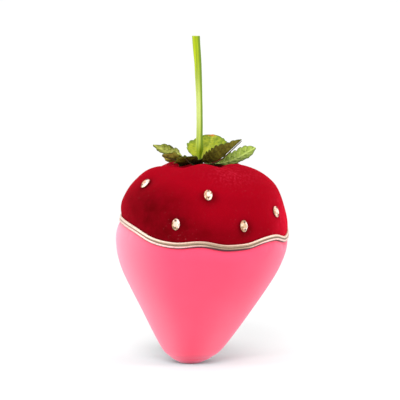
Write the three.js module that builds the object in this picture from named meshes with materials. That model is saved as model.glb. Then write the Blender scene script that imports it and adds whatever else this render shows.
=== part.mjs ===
// A strawberry-shaped pin cushion that stands on its blunt tip: a gathered velvet cap and a smooth
// lower cover that meet at a wavy seam under a braid, stuffed with fibre over a weight in the tip,
// with sewn-on stones for seeds and a calyx of artificial leaves round a long ridged stem.
//
// Millimetres, +Z up. The origin is the centre of the flat foot. -Y is the front, and an azimuth
// is counted from the front towards +X, so the body's left side is at -90 degrees.

import * as THREE from 'three';
import { LoftGeometry } from 'three/addons/geometries/LoftGeometry.js';

const { degToRad, lerp, smoothstep } = THREE.MathUtils;

// ---- Driving dimensions ----

const GAP = 0.3; // clearance between pieces that touch
const COVER_THICKNESS = 1.2; // velvet or velour with its backing
const FILL_INSET = 2.05; // the stuffing and the weight, counted from the body's surface
const LEAN = 5.5; // how far the body's axis leans towards +X between the foot and the shoulder
const LEAN_HEIGHT = 72; // height at which the lean is complete

// Half of the body's upright outline, from the foot's edge to the gathered hole: [radius, height].
const BODY_OUTLINE = [
  [6, 0], [9.6, 1.8], [13.2, 5.6], [18.4, 13.2], [25.2, 24.4], [32, 35.7], [37.2, 45.6], [39.8, 54.5],
  [39.9, 62.5], [38.8, 71], [36.2, 79], [32.4, 84.8], [24.9, 90.4], [14.5, 93.5], [4.5, 88.4],
];

const GATHERS = 5; // soft folds of the velvet round the stem
const GATHER_DEPTH = 1.5;
const HOLE_RADIUS = 4.5; // the folds run out here
const CREST_RADIUS = 12; // and are deepest here
const SHOULDER_HEIGHT = 84; // on the outside they start here
const CREST_HEIGHT = 93;

// The seam between the covers, from the back all the way round: [azimuth, height].
const SEAM = [
  [-180, 62.8], [-163, 64.8], [-140, 67.5], [-115, 69.8], [-90, 68.8], [-54, 66], [-33, 61.4],
  [-17, 59.7], [1, 60.4], [16, 58.6], [30, 59], [45, 61.1], [58, 61.5], [73, 59.7], [88, 61.2],
  [110, 66], [130, 66.5], [152, 63.5],
];

const BRAID_WIDTH = 3;
const BRAID_DEPTH = 0.9;
const BRAID_END_GAP = 1.2; // half of the gap between the braid's two ends, at the back
const JOIN_TAB = { width: 5, height: 3.8, depth: 0.8, corner: 0.7 }; // covers that gap

const FOOT_DISC = { radius: 4.2, bottom: 1.4, thickness: 1 };
const BALLAST_BOTTOM = 1.9; // heights on the body's outline
const BALLAST_TOP = 25;

// Stones on the velvet: [azimuth, height].
const SEEDS = [
  [-56.8, 85.9], [4.5, 82.4], [-17.8, 69.4], [28.8, 68.3], [62, 73.1], [112, 75],
  [156, 72], [-157, 74.5], [-112, 77], [-140, 86], [178, 84], [136, 85.5],
];
const SEED_WIDTH = 4.2;
const SEED_LENGTH = 5.6;
const SEED_DEPTH = 1.9;
const SEED_FACETS = 10;
// Back, girdle, crown and table of a stone: [share of the half width, share of the depth].
const SEED_PROFILE = [[0, 0], [0.86, 0], [1, 0.3], [0.62, 0.9], [0, 1]];

const STEM_FOOT = new THREE.Vector3(3.9, 0, 92);
const STEM_TOP = new THREE.Vector3(2.5, 0, 153.5);
const STEM_BOW = 0.9; // sideways bow of the stem at the middle of its length
const STEM_RIDGES = 5;
const RIDGE_HEIGHT = 0.1; // share of the stem's radius
// The stem's radius along its length: [share of the length, radius].
const STEM_RADII = [[0, 1.9], [0.12, 1.8], [0.25, 1.4], [0.5, 1.4], [0.8, 1.6], [1, 1.75]];
const WIRE_RADIUS = 0.5; // the bore round the wire leaves a clearance for the glue
const WIRE_BORE_RADIUS = 0.85;
const WIRE_BOTTOM = 62; // the wire ends here, deep in the filling
const WIRE_TOP = 116; // and here, inside the stem
const WIRE_BEND_DEPTH = 1; // how far below the stem's foot the wire starts to follow the stem

const PAD = { outer: 5.5, inner: 1.3, bottom: 90.8, thickness: 0.9 };
const THREAD_RADIUS = 0.35;
const THREAD_RING_RADIUS = 5.4;
const THREAD_HEIGHT = 89.9;

// The leaves, clockwise seen from above. Azimuth, rise (pitch at the base), curl (how much the pitch
// changes by the tip), roll about the midrib and folds (how far each half is raised) are in degrees.
// Halves are the widest half on each side. In every pair the side of the smaller azimuth comes first.
const LEAVES = [
  { azimuth: -22, lift: 0.3, rise: 14, curl: 18, roll: 0, length: 12.5, halves: [4.8, 5.5], folds: [4, 16] },
  { azimuth: -72, lift: 1.1, rise: 14, curl: 12, roll: 16, length: 15, halves: [3.6, 6], folds: [4, 4] },
  { azimuth: -114, lift: 2.5, rise: 8, curl: 22, roll: -26, length: 21.5, halves: [6.2, 4], folds: [6, 14] },
  { azimuth: 154, lift: 1.6, rise: 32, curl: 20, roll: 0, length: 17, halves: [10, 11], folds: [8, 8] },
  { azimuth: 98, lift: 0.5, rise: 11, curl: 10, roll: 26, length: 24.5, halves: [5.5, 6.5], folds: [12, 4] },
  { azimuth: 56, lift: 1.3, rise: 9, curl: 40, roll: -4, length: 24, halves: [6.2, 6], folds: [34, 26] },
];
const LEAF_START = 3.2; // distance of a leaf's stalk from the stem's axis
const LEAF_BOTTOM = 93.4;
const LEAF_THICKNESS = 0.5;
const LEAF_STALK = 0.9; // half width of the leaf where it leaves the calyx
const LEAF_TWIST_END = 0.4; // share of the length by which a leaf has rolled over
const LEAF_TEETH = 6;
const LEAF_SHOULDER = 0.85; // below 1 the widest part moves towards the stalk
const LEAF_ROUNDNESS = 0.8; // below 1 the outline is fuller than a half wave
const TOOTH_DEPTH = 0.1;
const RIB_RADIUS = 0.42;
const RIB_TIP_RADIUS = 0.2;
const RIB_START = 0.04; // share of the leaf's length

// ---- How finely the shapes are divided ----

const BODY_COLUMNS = 48;
const COVER_ROWS = 12;
const BALLAST_ROWS = 6;
const BRAID_STEPS = 90;
const DISC_SIDES = 24;
const PAD_SIDES = 32;
const THREAD_SIDES = 6;
const THREAD_STEPS = 40;
const STEM_COLUMNS = 4 * STEM_RIDGES;
const STEM_STEPS = 12;
const BORE_STEPS = 4;
const WIRE_SIDES = 8;
const RIB_STEPS = 9;
const RIB_SIDES = 6;
const HALVINGS = 40; // of the interval in which a height is looked for along the outline

// ---- Shared geometry ----

const outline = new THREE.SplineCurve(BODY_OUTLINE.map((point) => new THREE.Vector2(...point)));

function bodyAxisX(height) {
  return LEAN * Math.sin(Math.PI / 2 * Math.min(1, Math.max(0, height) / LEAN_HEIGHT));
}

// Where along the outline, 0 at the foot and 1 at the gathered hole, the side reaches a height.
function outlineShareAt(height) {
  const crest = (BODY_OUTLINE.length - 2) / (BODY_OUTLINE.length - 1);
  let low = 0;
  let high = crest;
  for (let step = 0; step < HALVINGS; step += 1) {
    const middle = (low + high) / 2;
    if (outline.getPoint(middle).y < height) low = middle;
    else high = middle;
  }
  return (low + high) / 2;
}

function outward(azimuth) {
  return new THREE.Vector3(Math.sin(azimuth), -Math.cos(azimuth), 0);
}

// The height that the gathers add to a point of the outline at an azimuth: they rise over the
// shoulder, are deepest at the crest and run out at the gathered hole.
function gatherLift({ x: radius, y: height }, azimuth) {
  const overHole = smoothstep(radius, HOLE_RADIUS, CREST_RADIUS);
  const overShoulder = smoothstep(height, SHOULDER_HEIGHT, CREST_HEIGHT);
  return GATHER_DEPTH * overHole * overShoulder * Math.cos(GATHERS * azimuth);
}

// A point of the body's surface, or of the surface that lies inset inside it.
function bodyPoint(azimuth, share, inset = 0) {
  const point = outline.getPoint(share);
  const tangent = outline.getTangent(share);
  const radius = point.x - inset * tangent.y;
  const height = point.y + inset * tangent.x;
  return outward(azimuth).multiplyScalar(radius)
    .add(new THREE.Vector3(bodyAxisX(point.y), 0, height + gatherLift(point, azimuth)));
}

// The outward normal of the body at an azimuth and a share of the outline.
function bodyNormal(azimuth, share) {
  const tangent = outline.getTangent(share);
  return outward(azimuth).multiplyScalar(tangent.y).setZ(-tangent.x).normalize();
}

const seamCurve = new THREE.CatmullRomCurve3(SEAM.map(([degrees, height]) => {
  const radius = outline.getPoint(outlineShareAt(height)).x;
  return outward(degToRad(degrees)).multiplyScalar(radius).setZ(height);
}), true);

// The azimuth and height of the seam at a share of its way round from the back.
function seamAt(share) {
  const point = seamCurve.getPointAt(share);
  return { azimuth: Math.atan2(point.x, -point.y), height: point.z };
}

const seamColumns = Array.from({ length: BODY_COLUMNS }, (_, column) => seamAt(column / BODY_COLUMNS));

function ring(centre, radius, count = BODY_COLUMNS) {
  return Array.from({ length: count }, (_, index) =>
    outward(2 * Math.PI * index / count - Math.PI).multiplyScalar(radius).add(centre));
}

// One ring of the body at the outline share that shareOf gives for each column of the seam.
function bodyRing(shareOf, inset) {
  return seamColumns.map((column) => bodyPoint(column.azimuth, shareOf(column), inset));
}

// A ring with all its points in its centre, which closes a loft.
function collapse(section) {
  const centre = new THREE.Vector3();
  section.forEach((point) => centre.addScaledVector(point, 1 / section.length));
  return section.map(() => centre.clone());
}

function steps(count) {
  return Array.from({ length: count + 1 }, (_, index) => index / count);
}

function matt(color, roughness = 0.95) {
  return new THREE.MeshStandardMaterial({ color, roughness, metalness: 0 });
}

const object = new THREE.Group();

function addPiece(name, geometry, material) {
  const mesh = new THREE.Mesh(geometry, material);
  mesh.name = name;
  object.add(mesh);
  return mesh;
}

// ---- The stuffed body ----

function velvetCover() {
  const shareOf = (row) => (column) => lerp(outlineShareAt(column.height + GAP / 2), 1, row);
  const outer = steps(COVER_ROWS).map((row) => bodyRing(shareOf(row), 0));
  const inner = steps(COVER_ROWS).map((row) => bodyRing(shareOf(1 - row), COVER_THICKNESS));
  return new LoftGeometry([...outer, ...inner, outer[0]]);
}

function dipCover() {
  const shareOf = (row) => (column) => lerp(0, outlineShareAt(column.height - GAP / 2), row);
  const outer = steps(COVER_ROWS).map((row) => bodyRing(shareOf(row), 0));
  const inner = steps(COVER_ROWS).map((row) => bodyRing(shareOf(1 - row), COVER_THICKNESS));
  return new LoftGeometry([collapse(outer[0]), ...outer, ...inner, collapse(inner.at(-1))]);
}

function fibreFilling() {
  const bottom = outlineShareAt(BALLAST_TOP + GAP);
  const side = steps(COVER_ROWS).map((row) => bodyRing(() => lerp(bottom, 1, row), FILL_INSET));
  const mouthHeight = side.at(-1)[0].z;
  const bore = [mouthHeight, WIRE_BOTTOM - GAP].map((height) =>
    ring(new THREE.Vector3(STEM_FOOT.x, 0, height), WIRE_BORE_RADIUS));
  return new LoftGeometry([collapse(side[0]), ...side, ...bore, collapse(bore[1])]);
}

function ballastBag() {
  const [bottom, top] = [BALLAST_BOTTOM, BALLAST_TOP].map(outlineShareAt);
  const side = steps(BALLAST_ROWS).map((row) => bodyRing(() => lerp(bottom, top, row), FILL_INSET));
  return new LoftGeometry([collapse(side[0]), ...side, collapse(side.at(-1))]);
}

function baseDisc() {
  const { radius, bottom, thickness } = FOOT_DISC;
  return new THREE.CylinderGeometry(radius, radius, thickness, DISC_SIDES)
    .rotateX(Math.PI / 2)
    .translate(0, 0, bottom + thickness / 2);
}

// ---- The braid over the seam ----

// Half of the braid's section, [out from the body, along the body]: two round ribs and a groove.
const BRAID_SECTION = [
  [0, 0.5], [0.75, 0.4], [1, 0.22], [0.7, 0], [1, -0.22], [0.75, -0.4], [0, -0.5],
];

function goldBraid() {
  const length = seamCurve.getLength();
  const start = BRAID_END_GAP / length;
  const sections = steps(BRAID_STEPS).map((step) => {
    const share = lerp(start, 1 - start, step);
    const { azimuth, height } = seamAt(share);
    const outlineShare = outlineShareAt(height);
    const normal = bodyNormal(azimuth, outlineShare);
    const across = new THREE.Vector3().crossVectors(normal, seamCurve.getTangentAt(share)).normalize();
    return BRAID_SECTION.map(([out, along]) => bodyPoint(azimuth, outlineShare)
      .addScaledVector(normal, GAP + BRAID_DEPTH * out)
      .addScaledVector(across, BRAID_WIDTH * along));
  });
  return new LoftGeometry(sections, { capStart: true, capEnd: true });
}

function roundedRectangle(width, height, corner) {
  const shape = new THREE.Shape();
  const [x, y] = [width / 2 - corner, height / 2 - corner];
  shape.absarc(x, y, corner, 0, Math.PI / 2);
  shape.absarc(-x, y, corner, Math.PI / 2, Math.PI);
  shape.absarc(-x, -y, corner, Math.PI, 3 * Math.PI / 2);
  shape.absarc(x, -y, corner, 3 * Math.PI / 2, 2 * Math.PI);
  shape.closePath();
  return shape;
}

function placeOnBody(mesh, azimuth, height, clearance) {
  const share = outlineShareAt(height);
  const normal = bodyNormal(azimuth, share);
  const sideways = outward(azimuth + Math.PI / 2);
  const upwards = new THREE.Vector3().crossVectors(normal, sideways);
  mesh.quaternion.setFromRotationMatrix(new THREE.Matrix4().makeBasis(sideways, upwards, normal));
  mesh.position.copy(bodyPoint(azimuth, share)).addScaledVector(normal, clearance);
}

function addBraidJoin() {
  const { width, height, depth, corner } = JOIN_TAB;
  const shape = roundedRectangle(width, height, corner);
  const geometry = new THREE.ExtrudeGeometry(shape, { depth, bevelEnabled: false, curveSegments: 4 });
  const mesh = addPiece('braid_join_tab', geometry, matt(0xc7a878, 0.6));
  const seam = seamAt(0);
  placeOnBody(mesh, seam.azimuth, seam.height, 2 * GAP + BRAID_DEPTH);
}

// ---- The seed stones ----

// A flat-backed cut stone, as a turned profile made oval.
function seedStone() {
  const profile = SEED_PROFILE.map(([out, up]) => new THREE.Vector2(out * SEED_WIDTH / 2, up * SEED_DEPTH));
  return new THREE.LatheGeometry(profile, SEED_FACETS)
    .rotateX(Math.PI / 2)
    .scale(1, SEED_LENGTH / SEED_WIDTH, 1);
}

function addSeeds() {
  const material = new THREE.MeshStandardMaterial({ color: 0xe8d9b8, roughness: 0.1, metalness: 0.3 });
  SEEDS.forEach(([degrees, height], index) => {
    const mesh = addPiece(`seed_stone_${String(index + 1).padStart(2, '0')}`, seedStone(), material);
    placeOnBody(mesh, degToRad(degrees), height, GAP);
  });
}

// ---- The calyx and the stem ----

function gatherThread() {
  return new THREE.TorusGeometry(THREAD_RING_RADIUS, THREAD_RADIUS, THREAD_SIDES, THREAD_STEPS)
    .translate(LEAN, 0, THREAD_HEIGHT);
}

function calyxPad() {
  const { outer, inner, bottom, thickness } = PAD;
  const profile = [[inner, 0], [outer, 0], [outer, thickness], [inner, thickness], [inner, 0]]
    .map(([x, y]) => new THREE.Vector2(x, y));
  return new THREE.LatheGeometry(profile, PAD_SIDES)
    .rotateX(Math.PI / 2)
    .translate(STEM_FOOT.x, 0, bottom);
}

function stemCentre(share) {
  return new THREE.Vector3().lerpVectors(STEM_FOOT, STEM_TOP, share)
    .add(new THREE.Vector3(STEM_BOW * Math.sin(Math.PI * share), 0, 0));
}

function stemRadius(share) {
  const next = STEM_RADII.findIndex(([end]) => end >= share && end > 0);
  const [[start, startRadius], [end, endRadius]] = [STEM_RADII[next - 1], STEM_RADII[next]];
  return lerp(startRadius, endRadius, (share - start) / (end - start));
}

function stemRing(share) {
  const radius = stemRadius(share);
  return ring(stemCentre(share), 1, STEM_COLUMNS).map((point, index) => {
    const ridge = 1 + RIDGE_HEIGHT * Math.cos(2 * Math.PI * STEM_RIDGES * index / STEM_COLUMNS);
    return point.sub(stemCentre(share)).multiplyScalar(radius * ridge).add(stemCentre(share));
  });
}

function heightShare(height) {
  return (height - STEM_FOOT.z) / (STEM_TOP.z - STEM_FOOT.z);
}

function stem() {
  const boreShares = steps(BORE_STEPS).map((step) => lerp(heightShare(WIRE_TOP + GAP), 0, step));
  const bore = boreShares.map((share) => ring(stemCentre(share), WIRE_BORE_RADIUS, STEM_COLUMNS));
  const outside = steps(STEM_STEPS).map(stemRing);
  return new LoftGeometry([collapse(bore[0]), ...bore, ...outside, collapse(outside.at(-1))]);
}

function stemWire() {
  const straight = [WIRE_BOTTOM, STEM_FOOT.z - WIRE_BEND_DEPTH]
    .map((height) => new THREE.Vector3(STEM_FOOT.x, 0, height));
  const inStem = steps(BORE_STEPS).map((step) => stemCentre(lerp(0, heightShare(WIRE_TOP), step)));
  const rings = [...straight, ...inStem].map((centre) => ring(centre, WIRE_RADIUS, WIRE_SIDES));
  return new LoftGeometry([collapse(rings[0]), ...rings, collapse(rings.at(-1))]);
}

// ---- The leaves and their ribs ----

// The leaf's frame at a share of its length: the midrib's point and the directions across and up.
function leafFrame(leaf, share) {
  const out = outward(degToRad(leaf.azimuth));
  const sideways = outward(degToRad(leaf.azimuth + 90));
  const rise = degToRad(leaf.rise);
  const curl = degToRad(leaf.curl);
  const pitch = rise + curl * share;
  const reach = leaf.length * (Math.sin(pitch) - Math.sin(rise)) / curl;
  const climb = leaf.length * (Math.cos(rise) - Math.cos(pitch)) / curl;
  const centre = new THREE.Vector3(STEM_FOOT.x, 0, LEAF_BOTTOM + leaf.lift + climb)
    .addScaledVector(out, LEAF_START + reach);
  const upright = out.clone().multiplyScalar(-Math.sin(pitch)).setZ(Math.cos(pitch));
  const roll = degToRad(leaf.roll) * smoothstep(share, 0, LEAF_TWIST_END);
  const across = sideways.clone().multiplyScalar(Math.cos(roll)).addScaledVector(upright, Math.sin(roll));
  const up = upright.multiplyScalar(Math.cos(roll)).addScaledVector(sideways, -Math.sin(roll));
  return { centre, across, up };
}

// A round-shouldered leaf with coarse teeth that ends in a point.
function leafHalfWidth(widest, share, row) {
  const body = Math.sin(Math.PI * share ** LEAF_SHOULDER) ** LEAF_ROUNDNESS * widest;
  const tooth = row % 2 === 0 ? 1 : 1 - TOOTH_DEPTH;
  return Math.max(LEAF_STALK * (1 - share), body * tooth);
}

function leafBlade(leaf) {
  const rows = 2 * LEAF_TEETH;
  const sections = steps(rows).map((share, row) => {
    const { centre, across, up } = leafFrame(leaf, share);
    const line = (offset) => [-1, -0.5, 0, 0.5, 1].map((side) => {
      const half = side < 0 ? 0 : 1;
      const away = Math.abs(side) * leafHalfWidth(leaf.halves[half], share, row);
      return centre.clone()
        .addScaledVector(across, Math.sign(side) * away)
        .addScaledVector(up, away * Math.tan(degToRad(leaf.folds[half])) + offset);
    });
    return [...line(-LEAF_THICKNESS / 2), ...line(LEAF_THICKNESS / 2).reverse()];
  });
  return new LoftGeometry(sections, { capStart: true, capEnd: true });
}

function leafRib(leaf) {
  const rings = steps(RIB_STEPS).map((step) => {
    const share = lerp(RIB_START, 1, step);
    const radius = lerp(RIB_RADIUS, RIB_TIP_RADIUS, step);
    const { centre, across, up } = leafFrame(leaf, share);
    const axis = centre.clone().addScaledVector(up, -LEAF_THICKNESS / 2 - GAP - RIB_RADIUS);
    return Array.from({ length: RIB_SIDES }, (_, index) => {
      const angle = 2 * Math.PI * index / RIB_SIDES;
      return axis.clone()
        .addScaledVector(across, radius * Math.cos(angle))
        .addScaledVector(up, radius * Math.sin(angle));
    });
  });
  return new LoftGeometry(rings, { capStart: true, capEnd: true });
}

function addLeaves() {
  LEAVES.forEach((leaf, index) => {
    addPiece(`leaf_${index + 1}`, leafBlade(leaf), matt(0x7d9a2c, 0.7));
    addPiece(`leaf_rib_${index + 1}`, leafRib(leaf), matt(0x4c4a25, 0.5));
  });
}

// ---- Assembly ----

const steel = new THREE.MeshStandardMaterial({ color: 0x8f9296, roughness: 0.4, metalness: 1 });

addPiece('red_velvet_cover', velvetCover(), matt(0x9c0418));
addPiece('pink_dip_cover', dipCover(), matt(0xff5f84));
addPiece('fibre_filling', fibreFilling(), matt(0xf2efe8));
addPiece('ballast_bag', ballastBag(), matt(0xcfc4ae));
addPiece('base_disc', baseDisc(), matt(0x8d7b62));
addPiece('gold_braid', goldBraid(), matt(0xcbb083, 0.6));
addBraidJoin();
addSeeds();
addPiece('gather_thread', gatherThread(), matt(0x8a0616, 0.8));
addPiece('calyx_pad', calyxPad(), matt(0x3f4a1c));
addPiece('stem', stem(), matt(0xa6cc3d, 0.45));
addPiece('stem_wire', stemWire(), steel);
addLeaves();

export default object;
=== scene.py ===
"""Looks for the strawberry pin cushion: velvet cap, velour dip, braid, cut stones, calyx and stem.

Lengths in this script are millimetres in the row frame (origin at the centre of the flat foot, +Z up,
-Y front) until a mesh is made, where they become metres. An azimuth is counted from the front towards
+X. The driving sizes are the same as in the CAD source.
"""

import math

import bpy
import numpy as np
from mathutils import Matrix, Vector


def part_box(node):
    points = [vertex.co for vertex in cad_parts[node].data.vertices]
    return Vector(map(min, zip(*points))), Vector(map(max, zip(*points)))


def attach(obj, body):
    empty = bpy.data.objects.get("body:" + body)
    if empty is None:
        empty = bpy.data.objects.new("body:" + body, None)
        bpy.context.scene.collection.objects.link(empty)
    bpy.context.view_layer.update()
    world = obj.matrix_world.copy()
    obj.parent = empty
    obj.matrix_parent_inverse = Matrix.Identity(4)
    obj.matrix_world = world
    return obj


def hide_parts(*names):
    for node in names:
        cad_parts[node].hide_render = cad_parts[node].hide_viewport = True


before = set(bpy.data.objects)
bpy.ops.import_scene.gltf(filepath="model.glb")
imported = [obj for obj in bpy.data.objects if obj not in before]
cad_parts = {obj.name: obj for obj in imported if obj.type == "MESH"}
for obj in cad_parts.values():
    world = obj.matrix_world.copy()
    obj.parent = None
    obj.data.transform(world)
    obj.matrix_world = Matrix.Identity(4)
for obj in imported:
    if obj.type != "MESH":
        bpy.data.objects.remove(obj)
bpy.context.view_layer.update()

MM = 0.001
UP = np.array([0.0, 0.0, 1.0])

# ---- Driving sizes, as in the CAD ----

LEAN = 5.5
LEAN_HEIGHT = 72
OUTLINE = [
    (6, 0), (9.6, 1.8), (13.2, 5.6), (18.4, 13.2), (25.2, 24.4), (32, 35.7), (37.2, 45.6), (39.8, 54.5),
    (39.9, 62.5), (38.8, 71), (36.2, 79), (32.4, 84.8), (24.9, 90.4), (14.5, 93.5), (4.5, 88.4),
]
GATHERS = 5
GATHER_DEPTH = 1.5
HOLE_RADIUS = 4.5
CREST_RADIUS = 12
SHOULDER_HEIGHT = 84
CREST_HEIGHT = 93
SEAM = [
    (-180, 62.8), (-163, 64.8), (-140, 67.5), (-115, 69.8), (-90, 68.8), (-54, 66), (-33, 61.4),
    (-17, 59.7), (1, 60.4), (16, 58.6), (30, 59), (45, 61.1), (58, 61.5), (73, 59.7), (88, 61.2),
    (110, 66), (130, 66.5), (152, 63.5),
]
STONES = 12
STEM_FOOT = np.array([3.9, 0.0, 92.0])
STEM_TOP = np.array([2.5, 0.0, 153.5])
STEM_BOW = 0.9
STEM_RIDGES = 5
STEM_RADII = [(0, 0.95), (0.08, 0.95), (0.105, 1.2), (0.14, 1.74), (0.17, 1.7), (0.25, 1.4), (0.5, 1.4),
              (0.8, 1.6), (1, 1.75)]
COVER_THICKNESS = 1.2
BRAID_WIDTH = 3.0


# ---- Small helpers ----


def smoothstep(value, low, high):
    share = np.clip((np.asarray(value, float) - low) / (high - low), 0, 1)
    return share * share * (3 - 2 * share)


def bell(distance, width):
    return np.exp(-((np.asarray(distance, float) / width) ** 2))


def unit(vectors):
    return vectors / np.maximum(np.linalg.norm(vectors, axis=-1, keepdims=True), 1e-12)


def outward(azimuth):
    """The horizontal direction at an azimuth in radians."""
    azimuth = np.asarray(azimuth, float)
    return np.stack([np.sin(azimuth), -np.cos(azimuth), np.zeros_like(azimuth)], -1)


def turns(count):
    """Even angles of a full turn, starting at 0."""
    return 2 * math.pi * np.arange(count) / count


def around(columns):
    """Azimuths of a full turn in radians, starting at the back."""
    return turns(columns) - math.pi


def catmull_rom(points, share):
    """The point at each share, 0 to 1, of a smooth curve through the points."""
    points = np.asarray(points, float)
    last = len(points) - 1
    place = np.clip(np.asarray(share, float), 0, 1) * last
    index = np.minimum(place.astype(int), last - 1)
    t = (place - index)[..., None]
    before, start = points[np.maximum(index - 1, 0)], points[index]
    end, after = points[index + 1], points[np.minimum(index + 2, last)]
    leave, arrive = (end - before) / 2, (after - start) / 2
    return (
        (2 * start - 2 * end + leave + arrive) * t**3
        + (-3 * start + 3 * end - 2 * leave - arrive) * t**2
        + leave * t
        + start
    )


def wave_noise(place, seed, octaves=3):
    """Smooth noise from -1 to 1 made of a few tilted waves, the same on every run."""
    draw = np.random.default_rng(seed)
    place = np.asarray(place, float)
    total, scale = np.zeros(place.shape[:-1]), 0.0
    for octave in range(octaves):
        for _ in range(5):
            direction = unit(draw.normal(size=place.shape[-1])) * 2**octave
            total += np.sin(place @ direction + draw.uniform(0, 2 * math.pi)) / 2**octave
        scale += 2.2 / 2**octave
    return np.clip(total / scale, -1, 1)


def grid_faces(rows, columns, wrap=True, first=0):
    """Quads of a grid of points, row by row. Their normals point out when columns run towards +X."""
    faces = []
    for row in range(rows - 1):
        for column in range(columns if wrap else columns - 1):
            after = (column + 1) % columns
            low, high = first + row * columns, first + (row + 1) * columns
            faces.append((low + column, low + after, high + after, high + column))
    return faces


def tube_faces(rows, columns, flip=False, first=0):
    """The faces of a tube of rings with both ends closed; flip turns them over."""
    start, end = (tuple(first + row * columns + column for column in range(columns)) for row in (0, rows - 1))
    faces = [*grid_faces(rows, columns, first=first), start[::-1], end]
    return [face[::-1] for face in faces] if flip else faces


def fan(pole, columns, first=0, flip=False):
    """The triangles from a pole to the ring that starts at a given point; flip turns them over."""
    faces = [(pole, first + c, first + (c + 1) % columns) for c in range(columns)]
    return [(a, c, b) for a, b, c in faces] if flip else faces


def add_mesh(name, points, faces, materials, smooth=True):
    """A mesh object from points in millimetres."""
    mesh = bpy.data.meshes.new(name)
    mesh.from_pydata((np.asarray(points, float).reshape(-1, 3) * MM).tolist(), [], faces)
    mesh.polygons.foreach_set("use_smooth", [smooth] * len(mesh.polygons))
    for material in materials if isinstance(materials, list) else [materials]:
        mesh.materials.append(material)
    mesh.update()
    piece = bpy.data.objects.new(name, mesh)
    bpy.context.scene.collection.objects.link(piece)
    return piece


def read_vectors(mesh, name):
    vectors = np.zeros(len(mesh.vertices) * 3)
    mesh.vertices.foreach_get(name, vectors)
    return vectors.reshape(-1, 3)


def read_points(piece):
    return read_vectors(piece.data, "co") / MM


def write_points(piece, points):
    piece.data.vertices.foreach_set("co", (np.asarray(points) * MM).ravel())
    piece.data.update()


def paint(piece, name, values):
    """Keeps one number for each vertex under a name that the material reads."""
    attribute = piece.data.attributes.new(name, "FLOAT", "POINT")
    attribute.data.foreach_set("value", np.asarray(values, np.float32).ravel())


def apply_modifiers(piece):
    graph = bpy.context.evaluated_depsgraph_get()
    mesh = bpy.data.meshes.new_from_object(
        piece.evaluated_get(graph), preserve_all_data_layers=True, depsgraph=graph
    )
    piece.modifiers.clear()
    piece.data = mesh


def subdivide(piece, levels=1):
    modifier = piece.modifiers.new("smooth", "SUBSURF")
    modifier.levels = modifier.render_levels = levels


def thicken(piece, thickness, offset=-1.0):
    modifier = piece.modifiers.new("thickness", "SOLIDIFY")
    modifier.thickness = thickness * MM
    modifier.offset = offset
    modifier.use_even_offset = False
    return modifier


def hand_in(piece, slot, *nodes):
    """The piece rides on the object and stands for those CAD nodes, which are hidden; slot is not used."""
    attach(piece, "root")
    if nodes:
        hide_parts(*nodes)
    return piece


# ---- Materials ----


class Nodes:
    """Shorthand for building a material's node tree."""

    def __init__(self, name):
        self.material = bpy.data.materials.new(name)
        self.material.use_nodes = True
        self.tree = self.material.node_tree
        self.shader = self.tree.nodes["Principled BSDF"]

    def add(self, kind, inputs=None, **settings):
        node = self.tree.nodes.new("ShaderNode" + kind)
        for key, value in settings.items():
            setattr(node, key, value)
        for key, value in (inputs or {}).items():
            self.feed(node.inputs[key], value)
        return node

    def feed(self, socket, value):
        if isinstance(value, bpy.types.NodeSocket):
            self.tree.links.new(value, socket)
        else:
            socket.default_value = value

    def set(self, **values):
        for key, value in values.items():
            self.feed(self.shader.inputs[key.replace("_", " ")], value)

    def place(self):
        return self.add("TexCoord").outputs["Object"]

    def attribute(self, name):
        return self.add("Attribute", attribute_name=name).outputs["Fac"]

    def noise(self, scale, detail=2.0, roughness=0.5, place=None, distortion=0.0):
        """Noise whose scale is counted per metre."""
        inputs = {"Scale": scale, "Detail": detail, "Roughness": roughness, "Distortion": distortion}
        inputs["Vector"] = place or self.place()
        return self.add("TexNoise", inputs).outputs["Fac"]

    def math(self, operation, *values):
        node = self.add("Math", operation=operation)
        for socket, value in zip(node.inputs, values):
            self.feed(socket, value)
        return node.outputs[0]

    def map(self, value, low, high, new_low=0.0, new_high=1.0):
        inputs = {"Value": value, "From Min": low, "From Max": high, "To Min": new_low, "To Max": new_high}
        return self.add("MapRange", inputs).outputs[0]

    def mix(self, share, first, second):
        """Mixes two tones, each a socket or three linear numbers."""
        node = self.add("Mix", data_type="RGBA")
        self.feed(node.inputs["Factor"], share)
        for socket, value in zip([s for s in node.inputs if s.type == "RGBA"], (first, second)):
            self.feed(socket, colour(*value) if isinstance(value, tuple) else value)
        return next(s for s in node.outputs if s.type == "RGBA")

    def layers(self, tone, *layers):
        """Lays further tones over the first, each as far as its share says."""
        for share, layer in layers:
            tone = self.mix(share, tone, layer)
        return tone

    def times(self, first, second):
        return self.math("MULTIPLY", first, second)

    def bump(self, height, strength=1.0, distance=0.1, normal=None):
        """A bump whose distance is in millimetres."""
        inputs = {"Height": height, "Strength": strength, "Distance": distance * MM}
        if normal:
            inputs["Normal"] = normal
        return self.add("Bump", inputs).outputs["Normal"]


def colour(red, green, blue):
    """An opaque colour from linear numbers."""
    return (red, green, blue, 1.0)


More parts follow.
